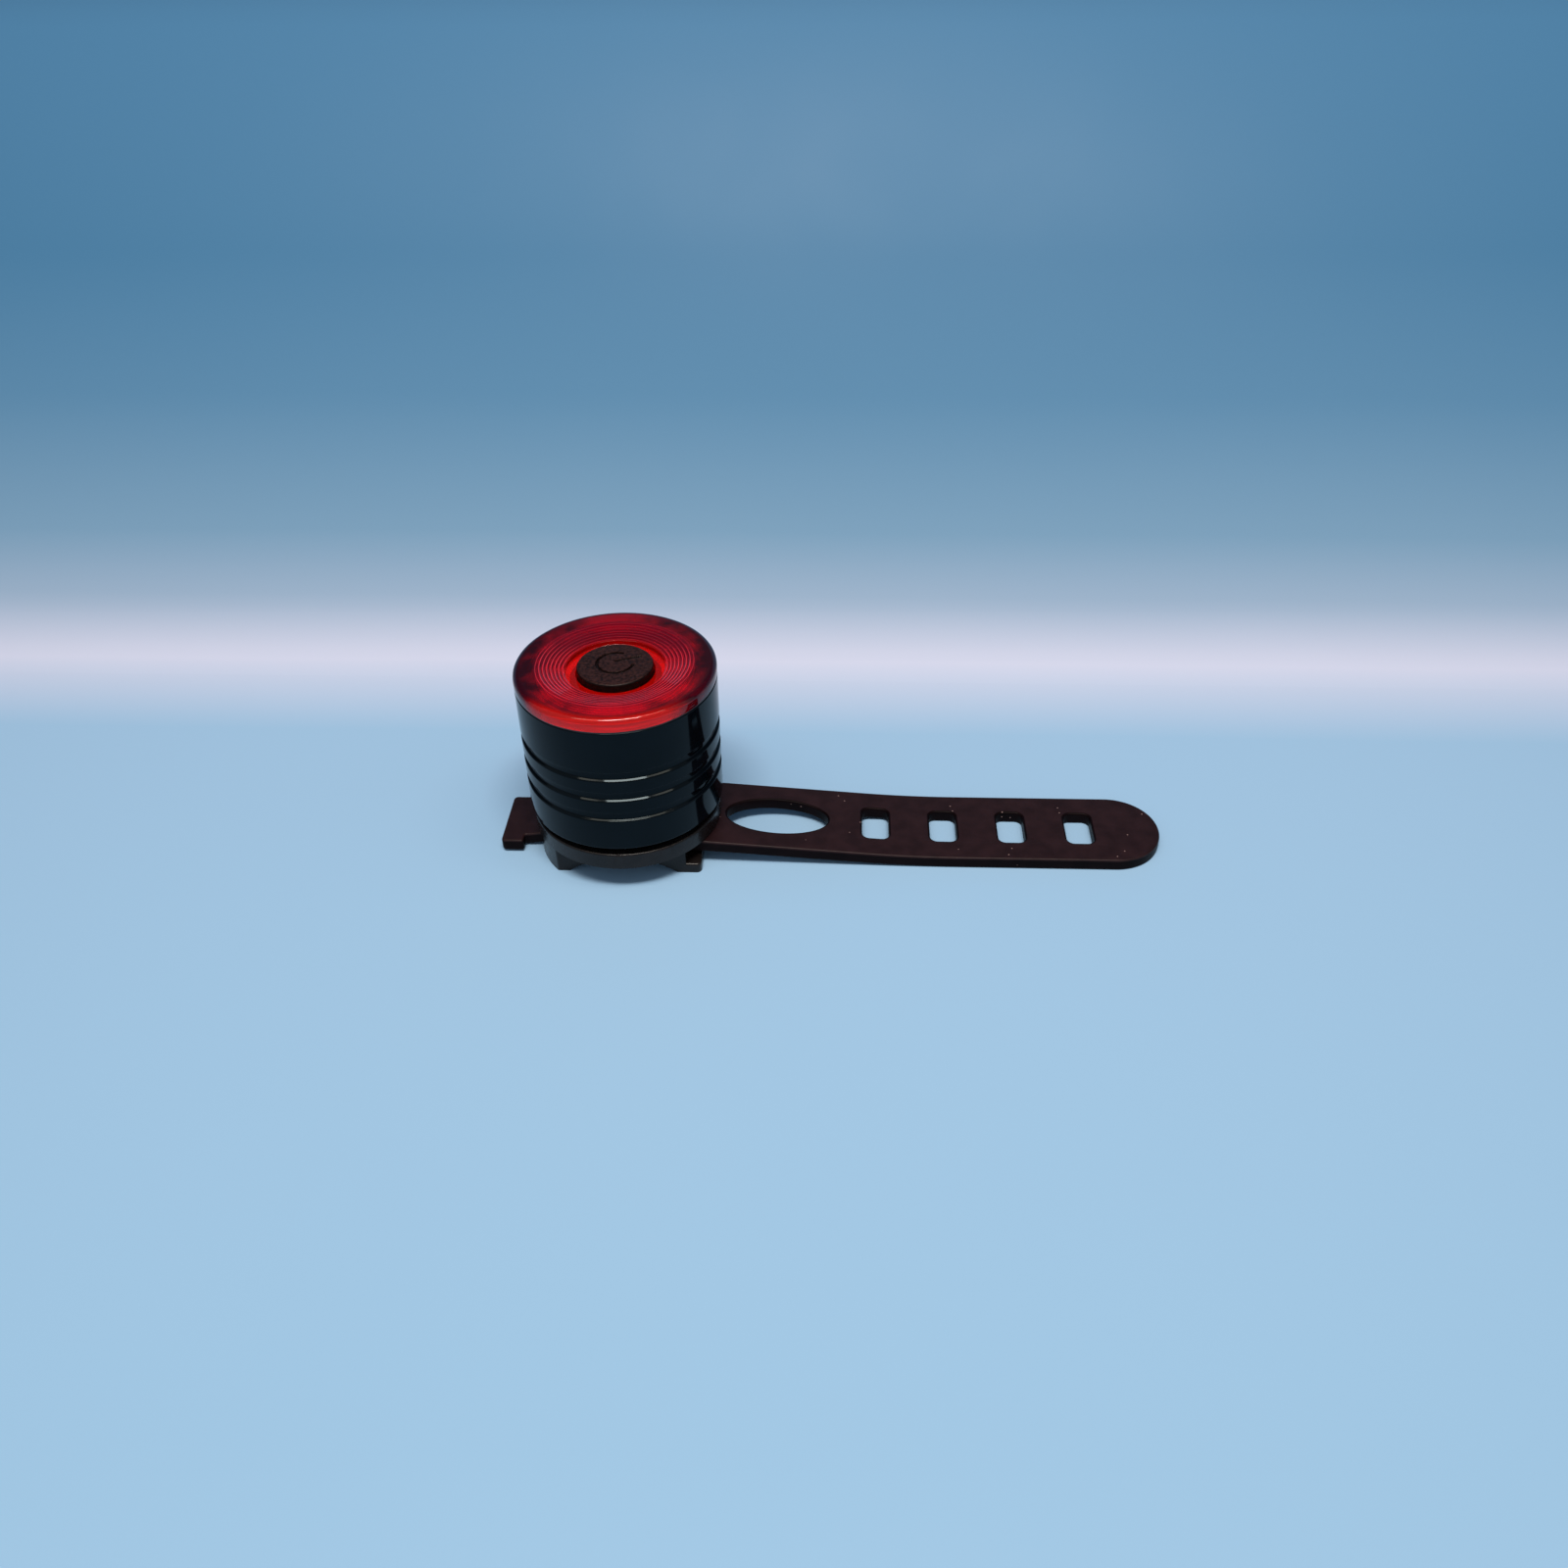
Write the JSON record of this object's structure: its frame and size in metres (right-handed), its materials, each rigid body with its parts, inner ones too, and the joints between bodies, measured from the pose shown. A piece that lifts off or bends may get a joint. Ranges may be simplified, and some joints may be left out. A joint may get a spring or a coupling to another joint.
{
  "type": "bike light",
  "caption": "Small round bicycle rear light with a grooved barrel, red ringed lens, centre push button, and a strap bracket with a flat perforated strap.",
  "frame": {"origin": "on the lamp's axis, in the plane of the bracket's feet, at the middle of the saddle's mouth", "axes": "+Z along the lamp's axis towards the lens, +X along the strap towards its free tip, Y along the seatpost"},
  "size_m": [0.105, 0.0304, 0.0325],
  "materials": {
    "anodised_black": "gloss black anodised, turned",
    "machined_aluminium": "fine machined",
    "lens_red": "polished, transparent",
    "strap_silicone": "matt moulded silicone",
    "button_silicone": "matt fine-grained silicone",
    "seal_rubber": "smooth",
    "bracket_plastic": "satin moulded nylon",
    "holder_plastic": "plain moulded",
    "reflector_white": "smooth white",
    "board_green": "white solder mask",
    "led_package": "clear resin",
    "chip_epoxy": "moulded epoxy",
    "screw_steel": "plated",
    "contact_brass": "stamped",
    "cell_steel": "nickel plated",
    "switch_plastic": "moulded"
  },
  "bodies": {
    "base": {"bracket": "bracket_plastic", "strap_anchor": "strap_silicone", "thread_base": "machined_aluminium", "base_screws": "screw_steel", "seal_ring": "seal_rubber", "contact_leaf": "contact_brass"},
    "strap": {"strap_tail": "strap_silicone"},
    "cells": {"cell_lower": "cell_steel", "cell_upper": "cell_steel"},
    "lamp": {"barrel": "anodised_black", "lens": "lens_red", "lens_seal": "seal_rubber", "reflector": "reflector_white", "led_board": "board_green", "leds": "led_package", "control_chip": "chip_epoxy", "board_screws": "screw_steel", "cell_holder": "holder_plastic", "ground_clip": "contact_brass", "board_contact": "contact_brass", "switch_body": "switch_plastic"},
    "button": {"power_button": "button_silicone", "switch_plunger": "switch_plastic"}
  },
  "joints": [
    {"name": "strap_flex", "type": "hinge", "parent": "base", "child": "strap", "pos_m": [0.0166, 0, 0.00317], "axis": [0, -1, 0], "range_deg": [-90, 90], "stiffness_Nm_per_rad": 0.004},
    {"name": "cell_lift", "type": "slide", "parent": "base", "child": "cells", "axis": [0, 0, 1], "range_m": [0, 0.00301]},
    {"name": "barrel_turn", "type": "hinge", "parent": "cells", "child": "lamp", "pos_m": [0, 0, 0.02], "axis": [0, 0, 1], "range_deg": [0, 1080]},
    {"name": "button_press", "type": "slide", "parent": "lamp", "child": "button", "axis": [0, 0, -1], "range_m": [0, 0.0005], "stiffness_N_per_m": 2000}
  ],
  "couplings": [
    {"joint": "cell_lift", "follows": "barrel_turn", "m_per_rad": 0.00015915}
  ]
}
